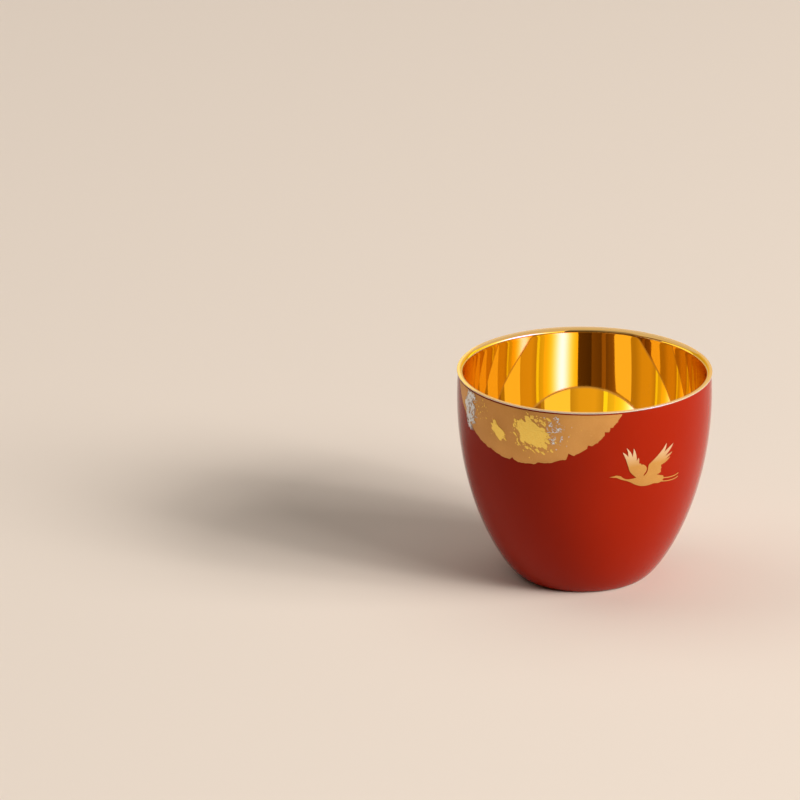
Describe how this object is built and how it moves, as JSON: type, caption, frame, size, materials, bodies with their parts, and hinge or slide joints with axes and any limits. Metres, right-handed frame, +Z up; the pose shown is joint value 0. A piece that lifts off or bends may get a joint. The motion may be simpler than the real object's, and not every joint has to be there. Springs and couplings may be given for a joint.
{
  "type": "lacquered double-wall drinking cup",
  "caption": "Free-standing drinking cup with two metal walls: red gloss lacquer outside with a gold moon, metal leaf and a flying crane, and a mirror-gilded inside with a rolled lip.",
  "frame": {"origin": "centre of the foot ring, on the surface the cup stands on", "axes": "+Z up along the cup's axis; the decorated side faces -Y, with the crane on the +X side of it"},
  "size_m": [0.084, 0.084, 0.0702],
  "materials": {
    "shell_steel": "drawn stainless steel, turned foot ring",
    "gilding": "mirror gold plating on polished steel",
    "base_steel": "pressed stainless steel, satin",
    "seal_glass": "dark sealing glass",
    "getter_alloy": "sintered alloy pellet, matte",
    "red_lacquer": "polished red lacquer, gloss",
    "moon_gold": "gold powder in lacquer, satin",
    "crane_gold": "gold powder in lacquer, satin with polished edges",
    "gold_leaf": "crumpled gold leaf",
    "silver_leaf": "crumpled silver leaf"
  },
  "bodies": {
    "root": {"outer_shell": "shell_steel", "inner_shell": "gilding", "base_plate": "base_steel", "port_seal": "seal_glass", "getter": "getter_alloy", "lacquer_coat": "red_lacquer", "gold_moon": "moon_gold", "gold_crane": "crane_gold", "gold_leaf_large": "gold_leaf", "gold_leaf_small": "gold_leaf", "silver_leaf_right": "silver_leaf", "silver_leaf_left": "silver_leaf"}
  },
  "joints": []
}
